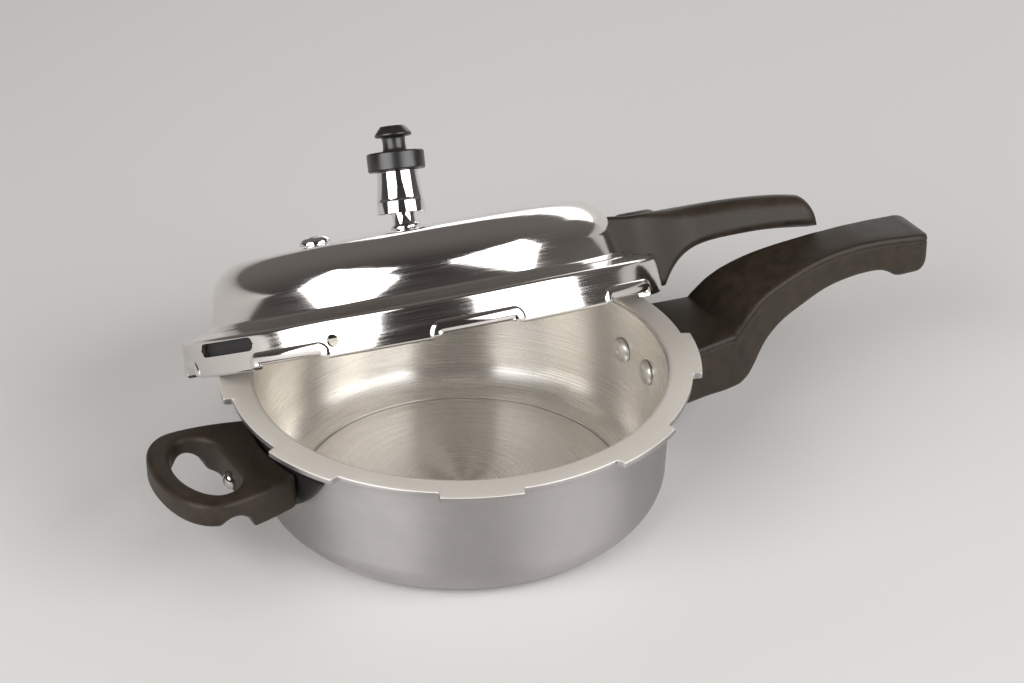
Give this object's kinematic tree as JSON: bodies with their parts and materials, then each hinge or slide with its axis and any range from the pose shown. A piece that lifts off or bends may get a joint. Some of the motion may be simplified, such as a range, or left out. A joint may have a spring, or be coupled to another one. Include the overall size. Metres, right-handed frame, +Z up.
{
  "type": "pressure cooker",
  "caption": "Outer-lid pressure pan with a long bakelite handle and a loop helper handle; its domed lid, with gasket, handle and weight valve, leans against the open pan.",
  "frame": {"origin": "centre of the pan's flat base, on the worktop", "axes": "+Z up, so -Z points out of the base; +X runs along the pan's long handle, away from the pan"},
  "size_m": [0.4269, 0.2793, 0.1554],
  "materials": {
    "satin_aluminium": "satin, spun",
    "polished_aluminium": "mirror polished",
    "chrome_plate": "bright plated",
    "steel": "bare",
    "painted_steel": "black, semi-matt",
    "bakelite": "moulded, semi-matt, dark brown-black",
    "black_rubber": "moulded",
    "fusible_alloy": "dull, cast"
  },
  "bodies": {
    "pan": {"pan_body": "satin_aluminium", "pan_handle": "bakelite", "pan_handle_bracket": "steel", "pan_handle_screw": "steel", "pan_handle_rivet_1": "polished_aluminium", "pan_handle_rivet_2": "polished_aluminium", "helper_handle": "bakelite", "helper_bracket": "painted_steel", "helper_screw": "steel", "helper_rivet_1": "polished_aluminium", "helper_rivet_2": "polished_aluminium"},
    "gasket": {"gasket": "black_rubber"},
    "lid": {"lid_shell": "polished_aluminium", "lid_handle": "bakelite", "lid_handle_bracket": "steel", "lid_handle_screw": "steel", "lid_handle_rivet_1": "polished_aluminium", "lid_handle_rivet_2": "polished_aluminium", "vent_tube": "chrome_plate", "vent_washer": "black_rubber", "vent_nut": "steel", "safety_valve": "chrome_plate", "safety_plug": "fusible_alloy", "safety_washer": "black_rubber", "safety_nut": "steel"},
    "weight": {"weight_body": "chrome_plate", "weight_pin": "steel", "weight_collar": "bakelite", "weight_knob": "bakelite"}
  },
  "joints": [
    {"name": "lid_lift", "type": "slide", "parent": "pan", "child": "gasket", "axis": [0, 0, 1], "range_m": [0, 0.15]},
    {"name": "lid_turn", "type": "hinge", "parent": "gasket", "child": "lid", "pos_m": [0.00673, 0.05179, 0.05996], "axis": [-0.0647, -0.4981, -0.8647], "range_deg": [0, 22.5]},
    {"name": "weight_lift", "type": "slide", "parent": "lid", "child": "weight", "axis": [0.0647, 0.4981, 0.8647], "range_m": [0, 0.02]}
  ]
}
